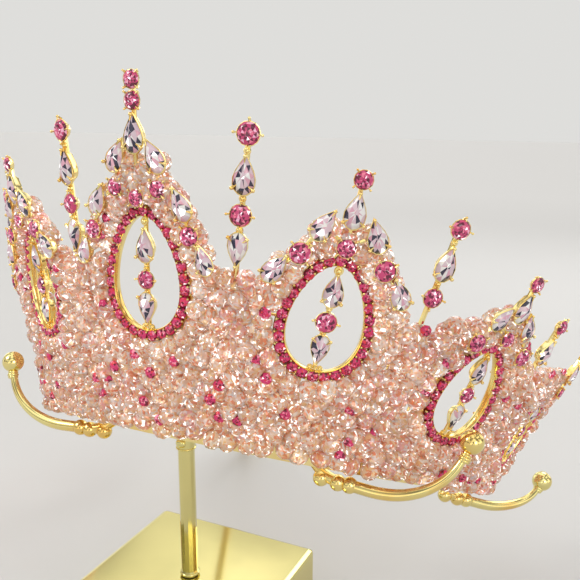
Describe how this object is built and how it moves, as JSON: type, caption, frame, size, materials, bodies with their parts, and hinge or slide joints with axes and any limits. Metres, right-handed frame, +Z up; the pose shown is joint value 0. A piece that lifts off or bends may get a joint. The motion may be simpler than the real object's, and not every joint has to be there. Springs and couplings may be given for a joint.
{
  "type": "tiara on a display stand",
  "caption": "Open-backed beaded tiara with egg-shaped windows, stone-set peaks and spires, resting on a gold stand with ball-tipped scroll arms.",
  "frame": {"origin": "centre of the underside of the stand's base", "axes": "+Z up, -Y towards the front of the tiara, +X to the right as seen from the front"},
  "size_m": [0.2132, 0.1612, 0.1706],
  "materials": {
    "gold": "bright polished yellow gold plating",
    "stand_gold": "pale mirror gold plating",
    "bead": "clear faceted peach pink glass beads on wire",
    "small_stone": "deep raspberry rhinestones in a gold frame",
    "set_stone": "raspberry and pale lilac cut stones in gold claw settings"
  },
  "bodies": {
    "root": {"stand_base": "stand_gold", "stand_post": "stand_gold", "cradle_hub": "gold", "cradle_arm_left": "gold", "cradle_arm_right_front": "gold", "cradle_arm_right_back": "gold", "cradle_arm_left_back": "gold", "rim_band": "gold", "bead_field_left": "bead", "bead_field_right": "bead", "window_frame_centre": "small_stone", "window_frame_inner_left": "small_stone", "window_frame_inner_right": "small_stone", "window_frame_outer_left": "small_stone", "window_frame_outer_right": "small_stone", "window_frame_end_left": "small_stone", "window_frame_end_right": "small_stone", "window_drop_centre": "set_stone", "window_drop_inner_left": "set_stone", "window_drop_inner_right": "set_stone", "window_drop_outer_left": "set_stone", "window_drop_outer_right": "set_stone", "window_drop_end_left": "set_stone", "window_drop_end_right": "set_stone", "peak_centre": "set_stone", "peak_inner_left": "set_stone", "peak_inner_right": "set_stone", "peak_outer_left": "set_stone", "peak_outer_right": "set_stone", "peak_end_left": "set_stone", "peak_end_right": "set_stone", "spire_inner_left": "set_stone", "spire_inner_right": "set_stone", "spire_middle_left": "set_stone", "spire_middle_right": "set_stone", "spire_outer_left": "set_stone", "spire_outer_right": "set_stone"}
  },
  "joints": []
}
